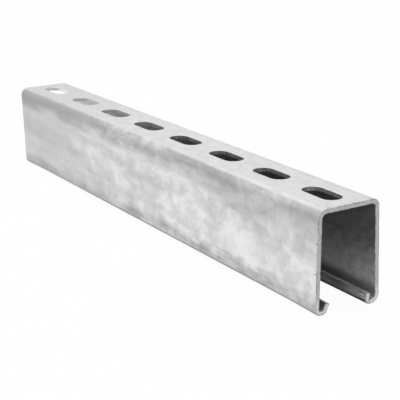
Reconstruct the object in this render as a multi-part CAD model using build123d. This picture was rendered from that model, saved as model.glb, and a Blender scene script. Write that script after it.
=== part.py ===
from build123d import *
import os
from math import floor, radians, tan

# Slotted strut channel: one length of galvanised steel sheet, roll-formed into a deep C.
# X runs along the channel, Y across it and Z up. It lies open side down: the slotted web
# is on top, and the two folded lips rest on Z = 0. All sizes are in millimetres.

# Section
web_width = 41.3  # between the outer faces of the legs, at the web
channel_depth = 61.9  # from the lip floors up to the outer face of the web
sheet_thickness = 2.7  # 12 gauge, with its zinc
leg_splay = 1.3  # degrees that each leg leans outwards on its way down

# Inside radii of the bends
web_bend_radius = 1.7  # web to leg
lip_bend_radius = 1.5  # leg to lip floor
return_bend_radius = 0.5  # lip floor to return
tip_edge_radius = 0.4  # on the two edges of each return's tip

# Lips: a floor turned in from the leg, and a return turned up from the floor
front_floor_flat = 0.8  # straight part of the floor, between its two bends
rear_floor_flat = 1.6
front_return_height = 5.9  # from Z = 0 to the outer edge of the return's tip
rear_return_height = 7.2
front_return_lean = 24.0  # degrees that the tip leans towards the middle of the channel
rear_return_lean = -6.0

# Length, and the row of slots in the web
channel_length = 406.4  # 16 inches
slot_length = 30.0
slot_width = 13.0
slot_pitch = 50.8  # 2 inches
first_slot_margin = 25.4  # from the +X end to the middle of the first slot, 1 inch


def bend_setback(inside_radius, turn):
    """Length that a bend takes from each of its two flats, on the outer face."""
    return (inside_radius + sheet_thickness) * tan(radians(turn / 2))


def lip_corners(side, floor_flat, return_height, return_lean):
    """Outer-face corners of one lip, from the return's tip to the foot of the leg."""
    heel = web_width / 2 + channel_depth * tan(radians(leg_splay))
    heel_setback = bend_setback(lip_bend_radius, 90 + leg_splay)
    toe_setback = bend_setback(return_bend_radius, 90 - return_lean)
    toe = heel - heel_setback - floor_flat - toe_setback
    tip = toe - return_height * tan(radians(return_lean))
    return [(side * tip, return_height), (side * toe, 0), (side * heel, 0)]


def bent_sheet():
    """The section seen from the +X end: its outer face, thickened inwards."""
    front_lip = lip_corners(-1, front_floor_flat, front_return_height, front_return_lean)
    rear_lip = lip_corners(1, rear_floor_flat, rear_return_height, rear_return_lean)
    web = [(-web_width / 2, channel_depth), (web_width / 2, channel_depth)]
    corners = front_lip + web + rear_lip[::-1]

    one_side = [return_bend_radius, lip_bend_radius, web_bend_radius]
    inside_radii = one_side + one_side[::-1]
    outside_radii = [radius + sheet_thickness for radius in inside_radii]
    outer_face = FilletPolyline(*corners, radius=outside_radii)

    both_ways = [outer_face.offset_2d(sheet_thickness, side=side) for side in (Side.LEFT, Side.RIGHT)]
    sheet = min((Face(outline) for outline in both_ways), key=lambda face: face.area)
    for tip in (corners[0], corners[-1]):
        tip_edges = sheet.vertices().sort_by_distance(tip)[:2]
        sheet = sheet.fillet_2d(tip_edge_radius, tip_edges)
    return sheet


def slot_row():
    """Outlines of the slots on the web's outer face, spaced from the +X end.

    The last slot stays at least as far from the -X end as the first is from its own end.
    """
    pitches = (channel_length - 2 * first_slot_margin) / slot_pitch
    slot_count = floor(round(pitches, 6)) + 1
    first_slot_x = channel_length / 2 - first_slot_margin
    last_slot_x = first_slot_x - (slot_count - 1) * slot_pitch
    slots = Sketch() + GridLocations(slot_pitch, 0, slot_count, 1) * SlotOverall(slot_length, slot_width)
    return Pos((first_slot_x + last_slot_x) / 2, 0, channel_depth) * slots


def strut_channel():
    """The bent sheet run along X, with the slots punched down through its web."""
    channel = extrude(Plane.YZ * bent_sheet(), amount=channel_length / 2, both=True)
    return channel - extrude(slot_row(), amount=-sheet_thickness)


os.makedirs("parts", exist_ok=True)
export_step(strut_channel(), "parts/strut_channel.step")
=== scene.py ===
from math import cos, radians, sin, tan

import bmesh
import bpy
from mathutils import Matrix, Vector


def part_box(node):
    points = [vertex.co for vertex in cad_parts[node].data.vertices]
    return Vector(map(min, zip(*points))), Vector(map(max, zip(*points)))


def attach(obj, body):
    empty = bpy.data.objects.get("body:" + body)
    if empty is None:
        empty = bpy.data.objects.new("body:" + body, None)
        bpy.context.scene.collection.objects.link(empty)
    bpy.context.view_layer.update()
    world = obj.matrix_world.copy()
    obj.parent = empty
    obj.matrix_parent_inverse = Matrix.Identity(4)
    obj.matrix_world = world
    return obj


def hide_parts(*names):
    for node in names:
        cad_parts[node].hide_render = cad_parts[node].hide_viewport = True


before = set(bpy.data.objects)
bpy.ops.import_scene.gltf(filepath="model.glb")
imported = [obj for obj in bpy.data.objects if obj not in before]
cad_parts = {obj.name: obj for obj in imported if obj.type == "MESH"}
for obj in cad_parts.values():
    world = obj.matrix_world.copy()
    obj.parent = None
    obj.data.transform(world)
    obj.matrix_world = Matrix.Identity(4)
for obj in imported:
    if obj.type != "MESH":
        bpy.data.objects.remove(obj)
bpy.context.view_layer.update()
mm = 0.001
touch = 0.01 * mm  # closer than this counts as being there

# One length of slotted strut channel, lying open side down. X runs along it, Y across, Z up.
# Its far end is the one at -X. Side -1 is the front leg and side 1 the rear one.
channelLow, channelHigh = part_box("strut_channel")
print("frame loaded")


def onlyThis(piece):
    if bpy.context.mode != "OBJECT":
        bpy.ops.object.mode_set(mode="OBJECT")
    bpy.ops.object.select_all(action="DESELECT")
    piece.select_set(True)
    bpy.context.view_layer.objects.active = piece


def pick(piece, what, wanted):
    # edit mode, with only what is wanted selected: what is VERT, EDGE or FACE
    onlyThis(piece)
    bpy.ops.object.mode_set(mode="EDIT")
    bpy.ops.mesh.select_mode(type=what)
    bpy.ops.mesh.select_all(action="DESELECT")
    shape = bmesh.from_edit_mesh(piece.data)
    for part in {"VERT": shape.verts, "EDGE": shape.edges, "FACE": shape.faces}[what]:
        if wanted(part):
            part.select_set(True)
    shape.select_flush_mode()
    bmesh.update_edit_mesh(piece.data)


def giveFinish(piece, name, wanted):
    pick(piece, "FACE", wanted)
    piece.active_material_index = piece.data.materials.find(name)
    bpy.ops.object.material_slot_assign()
    onlyThis(piece)


def applyAll(piece):
    onlyThis(piece)
    for modifier in list(piece.modifiers):
        bpy.ops.object.modifier_apply(modifier=modifier.name)


def middle(edge):
    return (edge.verts[0].co + edge.verts[1].co) / 2


def alongX(edge):
    return abs(edge.verts[0].co.x - edge.verts[1].co.x) > 0.9 * edge.calc_length()


channelShape = {
    "sheet": 2.7 * mm,  # thickness, with its zinc
    "webWidth": 41.3 * mm,
    "legSplay": 1.3,  # degrees
    "webBend": {-1: 2.9 * mm, 1: 1.7 * mm},  # inside radii
    "lipBend": {-1: 0.8 * mm, 1: 2.2 * mm},
    "returnBend": 0.4 * mm,
    "floorDroop": {-1: -0.4 * mm, 1: 0.9 * mm},  # how far the lip's toe is below its heel
    "floorFlat": {-1: 1.5 * mm, 1: 1.2 * mm},
    "returnHeight": {-1: 5.9 * mm, 1: 7.2 * mm},
    "returnLean": {-1: 24.0, 1: -6.0},  # degrees, towards the middle
    "lipsBelow": 10 * mm,  # a height that no part of the lips reaches
    "bendSteps": 12,
    "station": 5.0 * mm,  # length of one face along the channel
    "legRows": (5 * mm, 56 * mm),  # from the lowest row of faces to the highest
    "webRows": (-12 * mm, -8 * mm, 8 * mm, 12 * mm),
}


def setback(insideRadius, turn):
    return (insideRadius + channelShape["sheet"]) * tan(radians(turn) / 2)


def foldSheet():
    c = channelShape
    length = channelHigh.x - channelLow.x
    depth = channelHigh.z - channelLow.z
    bpy.ops.object.select_all(action="DESELECT")
    bpy.ops.mesh.primitive_plane_add(size=1, location=(0, 0, depth))
    channel = bpy.context.object
    channel.name = channel.data.name = "galvanisedChannel"
    channel.scale = (length, c["webWidth"], 1)
    bpy.ops.object.transform_apply()
    splay = depth * tan(radians(c["legSplay"]))
    heel = c["webWidth"] / 2 + splay
    folds = []
    for side in (-1, 1):
        droop = c["floorDroop"][side]
        webSetback = setback(c["webBend"][side], 90 - c["legSplay"])
        lipSetback = setback(c["lipBend"][side], 90 + c["legSplay"])
        returnSetback = setback(c["returnBend"], 90 - c["returnLean"][side])
        floorWidth = lipSetback + c["floorFlat"][side] + returnSetback
        tipShift = c["returnHeight"][side] * tan(radians(c["returnLean"][side]))
        pick(channel, "EDGE", lambda e: alongX(e) and abs(middle(e).y - side * c["webWidth"] / 2) < mm)
        for shift in (
            (0, side * splay, droop - depth),
            (0, -side * floorWidth, -droop),
            (0, -side * tipShift, c["returnHeight"][side]),
        ):
            bpy.ops.mesh.extrude_edges_move(TRANSFORM_OT_translate={"value": shift})
        folds += [
            (Vector((0, side * c["webWidth"] / 2, depth)), webSetback),
            (Vector((0, side * heel, droop)), lipSetback),
            (Vector((0, side * (heel - floorWidth), 0)), returnSetback),
        ]
    for corner, offset in folds:
        pick(channel, "EDGE", lambda e: alongX(e) and (middle(e) - corner).length < 0.1 * mm)
        bpy.ops.mesh.bevel(offset=offset, segments=c["bendSteps"], profile=0.5, clamp_overlap=False)
    onlyThis(channel)
    return channel


def addStations(channel):
    # divides the sheet along its length, and the legs and the web across it
    c = channelShape
    length = channelHigh.x - channelLow.x
    count = round(length / c["station"])
    low, high = c["legRows"]
    rows = round((high - low) / c["station"])
    cuts = [((channelLow.x + length * i / count, 0, 0), (1, 0, 0)) for i in range(1, count)]
    cuts += [((0, 0, low + (high - low) * i / rows), (0, 0, 1)) for i in range(rows + 1)]
    cuts += [((0, y, 0), (0, 1, 0)) for y in c["webRows"]]
    for place, direction in cuts:
        # those across Y divide the flat of the web alone
        pick(channel, "FACE", lambda f: direction[1] == 0 or f.normal.z > 0.99)
        bpy.ops.mesh.bisect(plane_co=place, plane_no=direction)
    onlyThis(channel)


def thickenSheet(channel):
    # wall inwards: the inner skin takes the next material, and the cut rim the one after
    wall = channel.modifiers.new("wall", "SOLIDIFY")
    wall.thickness = channelShape["sheet"]
    wall.offset = -1
    wall.use_even_offset = True
    wall.material_offset = 1
    wall.material_offset_rim = 2
    applyAll(channel)


def cutAway(channel, tools, finish):
    # joins the tools and cuts them out, and the faces that they leave take the finish
    bpy.ops.object.select_all(action="DESELECT")
    for tool in tools:
        tool.select_set(True)
    joined = tools[0]
    bpy.context.view_layer.objects.active = joined
    bpy.ops.object.join()
    for material in channel.data.materials:
        joined.data.materials.append(material)
    giveFinish(joined, finish, lambda face: True)
    cut = channel.modifiers.new("cut", "BOOLEAN")
    cut.operation = "DIFFERENCE"
    cut.solver = "EXACT"
    cut.material_mode = "INDEX"
    cut.object = joined
    applyAll(channel)
    bpy.data.objects.remove(joined)


slotShape = {
    "length": 30.0 * mm,
    "width": 13.0 * mm,
    "pitch": 50.8 * mm,
    "firstMargin": 25.4 * mm,  # from the near end to the middle of the first slot
    "count": 8,
    "steps": 56,
    "punchHeight": 10 * mm,
}


def punchSlots(channel):
    s = slotShape
    centres = [channelHigh.x - s["firstMargin"] - i * s["pitch"] for i in range(s["count"])]
    bpy.ops.object.select_all(action="DESELECT")
    bpy.ops.mesh.primitive_cylinder_add(
        vertices=s["steps"],
        radius=s["width"] / 2,
        depth=s["punchHeight"],
        location=(centres[0], 0, channelHigh.z),
        rotation=(0, 0, radians(180 / s["steps"])),
    )
    punch = bpy.context.object
    bpy.ops.object.transform_apply()
    for side in (-1, 1):
        pick(punch, "VERT", lambda v: (v.co.x - centres[0]) * side > 0)
        bpy.ops.transform.translate(value=(side * (s["length"] - s["width"]) / 2, 0, 0))
    punches = [punch]
    for centre in centres[1:]:
        onlyThis(punch)
        bpy.ops.object.duplicate(linked=False)
        copy = bpy.context.object
        copy.location.x = centre - centres[0]
        bpy.ops.object.transform_apply()
        punches.append(copy)
    cutAway(channel, punches, "punchedEdge")


edgeFinish = {
    "widest": 0.5 * mm,
    "slotTop": 0.9,  # shares of the widest
    "slotUnder": 0.25,
    "sawnEnd": 0.4,
    "tip": 0.8,
    "steps": 3,
    "sharpFrom": 50,  # degrees
    "smoothTo": 40,
    "burrWidth": 0.4 * mm,
}


def softenEdges(channel):
    e = edgeFinish
    end = channelHigh.x - touch
    web = channelHigh.z

    def atEnd(edge):
        return all(abs(v.co.x) > end for v in edge.verts)

    def atSlot(edge, height):
        reach = slotShape["width"] / 2 + touch
        return all(abs(v.co.z - height) < touch and abs(v.co.y) < reach for v in edge.verts)

    def sharp(edge):
        return edge.is_manifold and edge.calc_face_angle() > radians(e["sharpFrom"])

    kinds = (
        ("sawnEnd", atEnd),
        ("slotTop", lambda edge: not atEnd(edge) and atSlot(edge, web)),
        ("slotUnder", lambda edge: not atEnd(edge) and atSlot(edge, web - channelShape["sheet"])),
        ("tip", lambda edge: not atEnd(edge) and middle(edge).z < channelShape["lipsBelow"]),
    )
    for name, wanted in kinds:
        pick(channel, "EDGE", lambda edge: sharp(edge) and wanted(edge))
        bpy.ops.transform.edge_bevelweight(value=e[name])
    onlyThis(channel)
    soft = channel.modifiers.new("edges", "BEVEL")
    soft.limit_method = "WEIGHT"
    soft.width = e["widest"]
    soft.segments = e["steps"]
    soft.use_clamp_overlap = False
    applyAll(channel)


def burrEnds(channel):
    # a narrow rough border on the sawn faces, just inside their edges
    e = edgeFinish
    end = channelHigh.x - e["widest"]

    def atEnd(face, level):
        return abs(face.calc_center_median().x) > end and abs(face.normal.x) > level

    pick(channel, "FACE", lambda face: atEnd(face, 0.99))
    bpy.ops.mesh.inset(thickness=e["burrWidth"], depth=0, use_even_offset=False)
    sawn = {face.index for face in bmesh.from_edit_mesh(channel.data).faces if face.select}
    giveFinish(channel, "burr", lambda face: face.index not in sawn and atEnd(face, 0.3))


snags = {
    "length": 3.2 * mm,
    "height": 0.55 * mm,
    "depth": 0.5 * mm,
    "taper": 0.2,  # what is left of the height and the depth where a snag runs out
    # where the saw snagged the near end, in millimetres
    "legs": [(-1, 42.5), (-1, 24.5), (1, 33.0), (1, 20.0)],  # side, and height above the floor
    "web": [-13.0, 3.5, 15.5],  # places across it
}


def cutSnags(channel):
    n = snags
    slope = tan(radians(channelShape["legSplay"]))
    places = []
    for side, height in n["legs"]:
        spread = channelShape["webWidth"] / 2 + (channelHigh.z - height * mm) * slope
        place = (channelHigh.x, side * spread, height * mm)
        places.append((place, (n["length"], n["depth"], n["height"])))
    for y in n["web"]:
        place = (channelHigh.x, y * mm, channelHigh.z)
        places.append((place, (n["length"], n["height"], n["depth"])))
    bits = []
    for place, size in places:
        bpy.ops.object.select_all(action="DESELECT")
        bpy.ops.mesh.primitive_cube_add(size=2, location=place, scale=size)
        bit = bpy.context.object
        bpy.ops.object.transform_apply()
        pick(bit, "VERT", lambda v: v.co.x < channelHigh.x)
        bpy.ops.transform.resize(value=(1, n["taper"], n["taper"]), center_override=place)
        onlyThis(bit)
        bits.append(bit)
    cutAway(channel, bits, "burr")


endShape = {
    # how far each leg leans beyond the splay, in degrees, at the far end and at the near end
    "lean": {-1: (-2.4, 0.4), 1: (0.0, -0.3)},
    "lift": {-1: 1.25 * mm, 1: -0.3 * mm},  # of the feet, between the ends
    "reach": 0.09,  # share of the length over which each end was pushed back down
    "farDroop": 0.5,  # shares of the lift that the ends lose
    "nearDroop": 0.45,
    "webDip": 0.7 * mm,  # of the near end's front corner
    "stations": 23,
}


def shapeEnds(channel):
    # a cage with two points across and two up, whose lower corners move the legs
    e = endShape
    size = channelHigh - channelLow
    bpy.ops.object.select_all(action="DESELECT")
    bpy.ops.object.add(type="LATTICE", location=(channelLow + channelHigh) / 2)
    cage = bpy.context.object
    cage.scale = size
    cage.data.points_u, cage.data.points_v, cage.data.points_w = e["stations"], 2, 2
    cage.data.interpolation_type_u = "KEY_CARDINAL"
    cage.data.interpolation_type_v = cage.data.interpolation_type_w = "KEY_LINEAR"
    for i in range(e["stations"]):
        along = i / (e["stations"] - 1)
        nearEnd = max(0, 1 - (1 - along) / e["reach"]) ** 2
        farEnd = max(0, 1 - along / e["reach"]) ** 2
        droop = e["nearDroop"] * nearEnd + e["farDroop"] * farEnd
        for j, side in enumerate((-1, 1)):
            far, near = e["lean"][side]
            lean = radians(far + (near - far) * along)
            point = cage.data.points[i + j * e["stations"]]  # the lower ones come first
            point.co_deform.y += side * size.z * tan(lean) / size.y
            point.co_deform.z += e["lift"][side] * (1 - droop) / size.z
        corner = cage.data.points[i + 2 * e["stations"]]
        corner.co_deform.z -= e["webDip"] * nearEnd / size.z
    bend = channel.modifiers.new("ends", "LATTICE")
    bend.object = cage
    applyAll(channel)
    bpy.data.objects.remove(cage)


def finishLips(channel):
    # the lips' faces that look at each other across the opening get painted shade and scratches,
    # and the tips of the returns a painted highlight
    skin = channel.data.materials.find("zincSkin")
    rim = channel.data.materials.find("cutSteel")
    end = channelHigh.x - edgeFinish["widest"]

    def low(face):
        return face.calc_center_median().z < channelShape["lipsBelow"]

    def facesOpening(face):
        inwards = -face.normal.y if face.calc_center_median().y > 0 else face.normal.y
        return face.material_index == skin and low(face) and inwards > 0.2

    def onTip(face):
        return face.material_index == rim and low(face) and abs(face.calc_center_median().x) < end

    giveFinish(channel, "shadedLipFace", facesOpening)
    giveFinish(channel, "paintedTipHighlight", onTip)


def smoothFaces(channel):
    onlyThis(channel)
    bpy.ops.object.shade_smooth_by_angle(angle=radians(edgeFinish["smoothTo"]))
    even = channel.modifiers.new("even", "WEIGHTED_NORMAL")
    even.keep_sharp = True
    applyAll(channel)


def isSocket(value):
    return isinstance(value, bpy.types.NodeSocket)


def addNode(tree, kind, inputs=None, **settings):
    # a node with its settings, its plain inputs set and its linked ones joined
    made = tree.nodes.new(kind)
    for name, value in settings.items():
        setattr(made, name, value)
    for name, value in (inputs or {}).items():
        if isSocket(value):
            tree.links.new(value, made.inputs[name])
        else:
            made.inputs[name].default_value = value
    return made


def feed(kind, inputs, **settings):
    # the outputs of a new node, in the tree that its linked inputs come from
    tree = next(value.id_data for value in inputs.values() if isSocket(value))
    return addNode(tree, kind, inputs, **settings).outputs


def plus(first, second, share=1.0):
    # first + share * second
    return feed("ShaderNodeMath", {0: second, 1: share, 2: first}, operation="MULTIPLY_ADD")[0]


def times(first, second):
    return feed("ShaderNodeMath", {0: first, 1: second}, operation="MULTIPLY")[0]


def larger(first, second):
    return feed("ShaderNodeMath", {0: first, 1: second}, operation="MAXIMUM")[0]


def rise(value, start, end):
    # 0 at the start and 1 at the end, whichever of them is the greater
    inputs = {"Value": value, "From Min": start, "From Max": end}
    return feed("ShaderNodeMapRange", inputs, interpolation_type="SMOOTHSTEP")[0]


def blend(share, first, second, kind="MIX"):
    inputs = {0: share, 6: first, 7: second}
    return feed("ShaderNodeMix", inputs, data_type="RGBA", blend_type=kind)[2]


def coordinates(tree):
    # X, Y and Z of the piece, in metres
    return feed("ShaderNodeSeparateXYZ", {0: addNode(tree, "ShaderNodeTexCoord").outputs["Object"]})


def markPlaces(tree, size, stretch=1.2):
    # coordinates for marks of about size millimetres, longer towards the far end
    x, y, z = coordinates(tree)
    place = feed("ShaderNodeCombineXYZ", {0: times(x, plus(1.0, x, stretch)), 1: y, 2: z})[0]
    return feed("ShaderNodeMapping", {"Vector": place, "Scale": [1 / (s * mm) for s in size]})[0]


def patches(tree, size, detail, roughness, distortion):
    inputs = {"Vector": markPlaces(tree, size), "Scale": 1.0}
    inputs |= {"Detail": detail, "Roughness": roughness, "Distortion": distortion}
    return feed("ShaderNodeTexNoise", inputs)["Fac"]


def spangles(tree, size, waver):
    # one plain tone for each crystal of the coat, whose sides waver by that share of its size
    drawn = markPlaces(tree, size)
    noise = feed("ShaderNodeTexNoise", {"Vector": drawn, "Scale": 2.2, "Detail": 2.0})["Color"]
    inputs = {0: noise, 1: (waver, waver, waver), 2: drawn}
    moved = feed("ShaderNodeVectorMath", inputs, operation="MULTIPLY_ADD")[0]
    crystal = feed("ShaderNodeTexVoronoi", {"Vector": moved, "Scale": 1.0})["Color"]
    return feed("ShaderNodeSeparateColor", {0: crystal})[0]


def tone(red, green, blue):
    return (red, green, blue, 1)


# Each finish below has its tones, its marks and its changes from place to place. A mark has a
# size along, across and up in millimetres, then detail, roughness and distortion. A change has an
# axis, and where along it the change starts and is complete, in millimetres.


def newFinish(name, look):
    # the material, and its marks and changes, each as a value from 0 to 1
    material = bpy.data.materials.new(name)
    material.use_nodes = True
    tree = material.node_tree
    tree.nodes["Principled BSDF"].inputs["Metallic"].default_value = look["metallic"]
    at = {key: patches(tree, *values) for key, values in look["marks"].items()}
    if "changes" in look:
        place = dict(zip("xyz", coordinates(tree)))
        for key, (axis, start, end) in look["changes"].items():
            at[key] = rise(place[axis], start * mm, end * mm)
    return material, at


def coat(material, colour, roughness, height, depth):
    # depth is how deep the relief goes, in metres
    tree = material.node_tree
    bump = feed("ShaderNodeBump", {"Height": height, "Strength": 1.0, "Distance": depth})[0]
    for name, value in (("Base Color", colour), ("Roughness", roughness), ("Normal", bump)):
        tree.links.new(value, tree.nodes["Principled BSDF"].inputs[name])
    return material


zincSkin = {
    "metallic": 0.85,
    "dark": tone(0.40, 0.40, 0.406),
    "middle": tone(0.64, 0.638, 0.645),
    "light": tone(0.86, 0.858, 0.87),
    "web": tone(0.625, 0.618, 0.63),
    "webLight": tone(0.71, 0.702, 0.715),
    "webDarker": tone(0.56, 0.558, 0.56),
    "warm": tone(0.97, 0.955, 0.90),
    "relief": 0.10 * mm,
    "spangle": (9, 6, 6),  # size in millimetres
    "marks": {
        "cloud": ((80, 30, 13), 2.0, 0.5, 0.2),
        "flake": ((24, 12, 9), 1.5, 0.5, 0.2),
        "chip": ((10, 6, 6), 1.0, 0.5, 0.2),
        "grain": ((2.6, 2.0, 1.8), 2.0, 0.5, 0.0),
        "stroke": ((2.4, 3, 9), 2.0, 0.5, 0.3),
        "seam": ((80, 12, 3), 4.0, 0.6, 0.0),
        "warmth": ((30, 14, 12), 2.0, 0.5, 0.0),
    },
    "changes": {
        "frontLeg": ("y", 10, 0),
        "rearLeg": ("y", 0, 10),
        "crisper": ("x", -160, -40),  # from the far end, where the marks are faint
        "calmer": ("x", 30, 150),
        "blurred": ("x", 40, -160),
        "nearHalf": ("x", -20, 150),
        "nearThird": ("x", 40, 160),
        "farThird": ("x", -60, -140),
        "lowerLeg": ("z", 40, 24),
        "upperLeg": ("z", 30, 46),
        "aboveHeel": ("z", 22, 31),
        "belowBend": ("z", 44, 35),
        "bendShadeFades": ("x", 60, 160),  # the band of painted shade under the bend fades towards the near end
        "heelDeepens": ("x", -100, 140),  # the darker band along the heel deepens towards the near end
        "turn": ("z", 6.5, 4.5),  # where the leg turns under
        "turnNear": ("x", 166, 203),
        "turnShadowReach": ("x", -120, -50),
        "webFar": ("x", 20, -180),
        "webFront": ("y", -15, -20),
        "webRear": ("y", 12, 17),
        "webNear": ("x", 0, 200),
        "webSpreads": ("x", -20, 160),  # further down the bend, towards the near end
    },
    # heights where each ragged band starts and is full
    "bendShadeBand": (52 * mm, 65 * mm),
    "heelBand": (18.5 * mm, 8 * mm),
    "turnShadowLine": (4.0 * mm, 2.9 * mm),
    "webEdge": (60.8 * mm, 62.2 * mm),
    "ragged": 8 * mm,  # how far the bands waver
    "streaked": 4 * mm,
    "turnDrop": 0.56 * mm,  # how much lower the line stands at the near end
    "webSpread": 0.7 * mm,
    "webRagged": 0.35 * mm,
}


def legTone(at, z, flaky, fine):
    # a level of 0 is the dark tone, and one of about 1 the light one
    s = zincSkin
    level = plus(times(rise(at["cloud"], 0.3, 0.7), 0.27), flaky, 0.22)
    # the front leg's coat is dullest at the far end, and most broken up in the middle
    crisp = plus(0.42, larger(at["crisper"], at["rearLeg"]), 0.48)
    crisp = plus(crisp, at["calmer"], -0.12)
    level = plus(0.29, times(plus(level, fine), crisp))
    # towards the near end it is lighter low down, a painted light from the floor, and darker high up,
    # and it is darker in the far middle
    level = plus(level, times(at["nearHalf"], at["lowerLeg"]), 0.16)
    level = plus(level, times(at["nearThird"], at["upperLeg"]), -0.18)
    farMiddle = times(at["aboveHeel"], at["belowBend"])
    level = plus(level, times(farMiddle, at["farThird"]), -0.15)
    # a ragged band of painted shade under the bend, where the bend reflects dark surroundings
    height = plus(z, plus(flaky, at["chip"], 0.8), s["ragged"])
    level = plus(level, times(rise(height, *s["bendShadeBand"]), plus(-0.46, at["bendShadeFades"], 0.22)))
    # a streaked darker band along the heel
    height = plus(z, at["seam"], s["ragged"])
    height = plus(height, plus(at["chip"], at["heelDeepens"], -0.6), s["streaked"])
    heel = times(rise(height, *s["heelBand"]), plus(0.36, at["heelDeepens"], 0.30))
    level = plus(level, heel, -1.0)
    # a lighter strip where the leg turns under, and a line of painted shadow below it, on its underside
    level = plus(level, at["turn"], 0.08)
    line = rise(plus(z, at["turnNear"], s["turnDrop"]), *s["turnShadowLine"])
    level = plus(level, times(line, at["turnShadowReach"]), -0.38)
    colour = blend(rise(level, 0.0, 0.55), s["dark"], s["middle"])
    return blend(rise(level, 0.42, 0.95), colour, s["light"])


def webTone(at):
    s = zincSkin
    colour = blend(rise(plus(at["grain"], at["chip"]), 0.6, 1.4), s["web"], s["webLight"])
    colour = blend(rise(at["stroke"], 0.7, 0.78), colour, s["middle"])
    colour = blend(times(at["webFar"], 0.55), colour, s["webDarker"])
    # painted shade where it turns down to the front leg, and darker along the rear edge towards the
    # near end
    front = times(at["webFront"], 0.5)
    rear = times(times(at["webRear"], at["webNear"]), 0.4)
    return blend(plus(front, rear), colour, s["webDarker"])


def zincSkinFinish():
    s = zincSkin
    material, at = newFinish("zincSkin", s)
    z = coordinates(material.node_tree)[2]
    # flakes and chips lose their edges towards the far end of the front leg
    blur = times(at["blurred"], at["frontLeg"])
    flaky = rise(at["flake"], plus(0.42, blur, -0.1), plus(0.59, blur, 0.1))
    fine = times(rise(at["chip"], plus(0.46, blur, -0.1), plus(0.57, blur, 0.1)), 0.11)
    fine = plus(fine, spangles(material.node_tree, s["spangle"], 0.7), 0.15)
    fine = plus(fine, at["grain"], 0.07)
    fine = plus(fine, rise(at["stroke"], 0.68, 0.74), -0.07)
    height = plus(z, at["webSpreads"], s["webSpread"])
    height = plus(height, plus(at["grain"], at["chip"]), s["webRagged"])
    zinc = blend(rise(height, *s["webEdge"]), legTone(at, z, flaky, fine), webTone(at))
    zinc = blend(times(rise(at["warmth"], 0.55, 0.75), 0.5), zinc, s["warm"], "MULTIPLY")
    roughness = plus(plus(0.42, at["grain"], 0.12), at["flake"], 0.16)
    return coat(material, zinc, roughness, plus(at["flake"], at["grain"], 0.25), s["relief"])


shadedZincInside = {
    "metallic": 0.8,
    # painted shade: these tones are darker than the outer skin's, for the shade inside the channel
    "dark": tone(0.160, 0.156, 0.162),
    "light": tone(0.43, 0.42, 0.435),
    "bright": tone(0.62, 0.61, 0.625),
    "farLitDark": tone(0.62, 0.62, 0.62),
    "farLitLight": tone(0.90, 0.90, 0.90),
    "relief": 0.08 * mm,
    "marks": {
        "mottle": ((9, 6, 5), 4.0, 0.6, 0.6),
        "fine": ((1.6, 1.2, 1.0), 2.0, 0.6, 0.0),
        "scratch": ((24, 3, 0.7), 2.0, 0.6, 0.8),
    },
    "changes": {
        "farEnd": ("x", 30, -200),
        "low": ("z", 12, 5),
        "pastFrontLip": ("y", -16, -4),
        "lipFloor": ("z", 6, 3),
        "nearEnd": ("x", 160, 205),
        "lowerLeg": ("z", 42, 12),
        "rearLeg": ("y", 0, 10),
    },
}


def shadedZincInsideFinish():
    s = shadedZincInside
    material, at = newFinish("shadedZincInside", s)
    level = plus(plus(0.1, at["mottle"], 0.6), at["fine"], 0.30)
    level = plus(level, rise(at["scratch"], 0.60, 0.72), 0.30)
    zinc = blend(rise(level, 0.25, 0.95), s["dark"], s["light"])
    # painted light from the open far end: lighter tones towards it
    farLitZinc = blend(rise(level, 0.35, 0.85), s["farLitDark"], s["farLitLight"])
    zinc = blend(at["farEnd"], zinc, farLitZinc)
    # painted light from the floor: brighter low down, on the lips' floors, and on the rear leg at the
    # near end
    low = times(at["low"], plus(0.3, at["pastFrontLip"], 0.7))
    nearLow = times(times(at["nearEnd"], at["lowerLeg"]), at["rearLeg"])
    for share in (times(low, 0.65), times(at["lipFloor"], 0.35), times(nearLow, rise(level, 0.2, 0.8))):
        zinc = blend(share, zinc, s["bright"])
    roughness = plus(0.34, at["mottle"], 0.25)
    return coat(material, zinc, roughness, plus(at["mottle"], at["fine"], 0.3), s["relief"])


cutSteel = {
    "metallic": 0.85,
    "dark": tone(0.36, 0.36, 0.365),
    "light": tone(0.56, 0.56, 0.57),
    "lips": tone(0.74, 0.735, 0.74),
    "relief": 0.05 * mm,
    "marks": {
        "grain": ((2, 0.9, 0.9), 3.0, 0.6, 0.0),
        "sawn": ((6, 12, 0.35), 2.0, 0.5, 0.2),
    },
    "changes": {"onLips": ("z", 13, 6)},
}


def cutSteelFinish():
    s = cutSteel
    material, at = newFinish("cutSteel", s)
    level = plus(times(at["grain"], 0.7), at["sawn"], 0.4)
    steel = blend(rise(level, 0.25, 0.85), s["dark"], s["light"])
    steel = blend(times(at["onLips"], 0.7), steel, s["lips"])
    roughness = plus(0.38, at["grain"], 0.2)
    return coat(material, steel, roughness, plus(at["sawn"], at["grain"], 0.5), s["relief"])


punchedEdge = {
    "metallic": 0.5,
    "dark": tone(0.15, 0.146, 0.139),
    "light": tone(0.35, 0.345, 0.33),
    "rust": tone(0.27, 0.17, 0.12),
    # painted light towards the far end
    "farEnd": tone(1.0, 1.0, 1.0),
    "relief": 0.08 * mm,
    "marks": {
        "streak": ((1.2, 1.2, 5), 3.0, 0.6, 0.0),
        "spot": ((5, 4, 4), 3.0, 0.6, 0.5),
    },
    "changes": {"farLitHalf": ("x", 20, -200)},
}


def punchedEdgeFinish():
    s = punchedEdge
    material, at = newFinish("punchedEdge", s)
    zinc = blend(rise(plus(at["streak"], at["spot"], 0.5), 0.4, 1.0), s["dark"], s["light"])
    zinc = blend(times(rise(at["spot"], 0.56, 0.66), 0.7), zinc, s["rust"])
    # painted light: the walls turn white towards the far end
    zinc = blend(times(at["farLitHalf"], plus(0.85, at["streak"], 0.35)), zinc, s["farEnd"])
    return coat(material, zinc, plus(0.3, at["streak"], 0.3), at["streak"], s["relief"])


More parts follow.
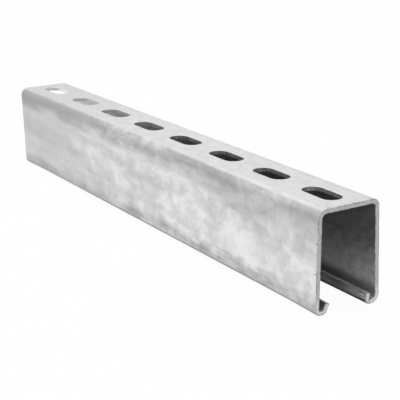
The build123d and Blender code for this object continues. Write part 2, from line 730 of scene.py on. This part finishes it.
burr = {
    "metallic": 0.8,
    "dark": tone(0.25, 0.245, 0.245),
    "light": tone(0.55, 0.55, 0.55),
    "relief": 0.15 * mm,
    "marks": {"tear": ((1.5, 2.2, 2.2), 3.0, 0.65, 0.4)},
}


def burrFinish():
    s = burr
    material, at = newFinish("burr", s)
    steel = blend(rise(at["tear"], 0.35, 0.62), s["dark"], s["light"])
    return coat(material, steel, plus(0.4, at["tear"], 0.25), at["tear"], s["relief"])


shadedLipFace = {
    "metallic": 0.8,
    # painted shade: these tones are dark for the shade between the lips
    "dark": tone(0.06, 0.058, 0.06),
    "light": tone(0.155, 0.151, 0.155),
    "scratched": tone(0.50, 0.49, 0.50),
    "nearEndLighter": tone(0.55, 0.55, 0.56),
    "relief": 0.10 * mm,
    "marks": {
        "mottle": ((34, 6, 1.8), 4.0, 0.6, 0.4),
        "scratch": ((36, 3, 0.8), 3.0, 0.6, 0.6),
        "wave": ((22, 4, 2.2), 3.0, 0.6, 1.0),
    },
    "changes": {
        "nearEnd": ("x", 175, 204),
        "aboveToe": ("z", 2, 4),
        "toe": ("z", 3.6, 1.4),
    },
}


def shadedLipFaceFinish():
    s = shadedLipFace
    material, at = newFinish("shadedLipFace", s)
    zinc = blend(rise(at["mottle"], 0.38, 0.62), s["dark"], s["light"])
    zinc = blend(times(rise(at["scratch"], 0.54, 0.64), 0.45), zinc, s["scratched"])
    # lighter in waves at the near end, and painted shadow, darker and rougher, where it turns under
    nearEndLighter = times(at["nearEnd"], rise(plus(at["wave"], at["scratch"], 0.6), 0.62, 0.84))
    zinc = blend(times(nearEndLighter, at["aboveToe"]), zinc, s["nearEndLighter"])
    zinc = blend(at["toe"], zinc, s["dark"])
    roughness = plus(plus(0.36, at["toe"], 0.4), at["mottle"], 0.25)
    return coat(material, zinc, roughness, plus(at["mottle"], at["scratch"], 0.5), s["relief"])


paintedTipHighlight = {
    "metallic": 0.5,
    # painted highlight: the tips of the returns are painted light, broken along their length
    "dull": tone(0.45, 0.445, 0.45),
    "bright": tone(0.95, 0.94, 0.95),
    "relief": 0.08 * mm,
    "marks": {"highlightBreaks": ((18, 2, 2), 4.0, 0.6, 0.3)},
}


def paintedTipHighlightFinish():
    s = paintedTipHighlight
    material, at = newFinish("paintedTipHighlight", s)
    zinc = blend(rise(at["highlightBreaks"], 0.35, 0.60), s["dull"], s["bright"])
    return coat(material, zinc, plus(0.3, at["highlightBreaks"], 0.3), at["highlightBreaks"], s["relief"])


channel = foldSheet()
addStations(channel)
for makeFinish in (  # the first three stand in the order that thickenSheet counts on
    zincSkinFinish,
    shadedZincInsideFinish,
    cutSteelFinish,
    punchedEdgeFinish,
    burrFinish,
    shadedLipFaceFinish,
    paintedTipHighlightFinish,
):
    channel.data.materials.append(makeFinish())
thickenSheet(channel)
print("sheet folded")
punchSlots(channel)
print("slots punched")
softenEdges(channel)
burrEnds(channel)
cutSnags(channel)
shapeEnds(channel)
print("ends shaped")
finishLips(channel)
smoothFaces(channel)
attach(channel, "root")
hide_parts("strut_channel")
channel.data.calc_loop_triangles()
print("channel finished", len(channel.data.loop_triangles), "triangles")


cameraView = {
    "azimuth": 59.56,  # degrees round the object, from the -Y side
    "elevation": 16.38,
    "roll": -1.05,
    "distance": 825.85 * mm,
    "target": (42.54 * mm, 0, 24.69 * mm),
    "lens": 112.83,
    "sensor": 36,
}


def addCamera():
    c = cameraView
    azimuth, elevation, roll = (radians(c[name]) for name in ("azimuth", "elevation", "roll"))
    back = Vector((sin(azimuth) * cos(elevation), -cos(azimuth) * cos(elevation), sin(elevation)))
    right = Vector((0, 0, 1)).cross(back).normalized()
    up = back.cross(right)
    rolledRight = right * cos(roll) + up * sin(roll)
    rolledUp = up * cos(roll) - right * sin(roll)
    turned = Matrix((rolledRight, rolledUp, back)).transposed().to_4x4()
    data = bpy.data.cameras.new("camera")
    data.lens = c["lens"]
    data.sensor_width = c["sensor"]
    data.clip_start, data.clip_end = 0.01, 20
    camera = bpy.data.objects.new("camera", data)
    camera.matrix_world = Matrix.Translation(Vector(c["target"]) + back * c["distance"]) @ turned
    bpy.context.collection.objects.link(camera)
    bpy.context.scene.camera = camera


addCamera()
print("camera placed")


studio = {
    "floorSize": 6,
    "floorTone": tone(0.9, 0.9, 0.9),
    "floorWhite": 0.96,  # share of plain white in what the camera and gloss see of the floor
    "coverReach": 40 * mm,  # how far off the channel still takes white from the floor's reflection
    "ambient": 0.7,
    "aim": (0, 0, 0.03),
    "lamps": {  # power, size and place
        "keyLamp": (6.0, 1.2, (-0.3, -0.3, 1.3)),
        "fillLamp": (2.0, 0.8, (-0.6, -1.2, 0.7)),
    },
}


def seenPlainly(tree):
    path = addNode(tree, "ShaderNodeLightPath").outputs
    seen = larger(path["Is Camera Ray"], path["Is Glossy Ray"])
    return larger(seen, path["Is Transmission Ray"])


def addFloor():
    bpy.ops.object.select_all(action="DESELECT")
    bpy.ops.mesh.primitive_plane_add(size=studio["floorSize"], location=(0, 0, 0))
    floor = bpy.context.object
    floor.name = "floor"
    material = bpy.data.materials.new("paleFloor")
    material.use_nodes = True
    tree = material.node_tree
    tree.nodes.clear()
    lit = addNode(tree, "ShaderNodeBsdfDiffuse", {"Color": studio["floorTone"]}).outputs[0]
    white = addNode(tree, "ShaderNodeEmission", {"Strength": 1.0}).outputs[0]
    cover = addNode(tree, "ShaderNodeAmbientOcclusion", {"Distance": studio["coverReach"]}, samples=4)
    path = addNode(tree, "ShaderNodeLightPath").outputs
    # painted shadow: near and under the channel, occlusion darkens the white that gloss sees of the
    # floor
    bare = larger(cover.outputs["AO"], path["Is Camera Ray"])
    share = times(times(seenPlainly(tree), bare), studio["floorWhite"])
    surface = feed("ShaderNodeMixShader", {0: share, 1: lit, 2: white})[0]
    addNode(tree, "ShaderNodeOutputMaterial", {"Surface": surface})
    floor.data.materials.append(material)


def addWorld():
    world = bpy.data.worlds.new("studio")
    bpy.context.scene.world = world
    world.use_nodes = True
    tree = world.node_tree
    tree.nodes.clear()
    inputs = {"Factor": seenPlainly(tree), "A": studio["ambient"], "B": 1.0}
    strength = feed("ShaderNodeMix", inputs, data_type="FLOAT")[0]
    light = feed("ShaderNodeBackground", {"Color": (1, 1, 1, 1), "Strength": strength})[0]
    addNode(tree, "ShaderNodeOutputWorld", {"Surface": light})


def addLamp(name, power, size, place):
    data = bpy.data.lights.new(name, "AREA")
    data.energy, data.size = power, size
    lamp = bpy.data.objects.new(name, data)
    lamp.location = place
    back = Vector(place) - Vector(studio["aim"])
    lamp.rotation_euler = back.to_track_quat("Z", "Y").to_euler()
    bpy.context.collection.objects.link(lamp)


addFloor()
addWorld()
for name, values in studio["lamps"].items():
    addLamp(name, *values)
print("studio lit")

bpy.context.scene.view_settings.view_transform = "Standard"
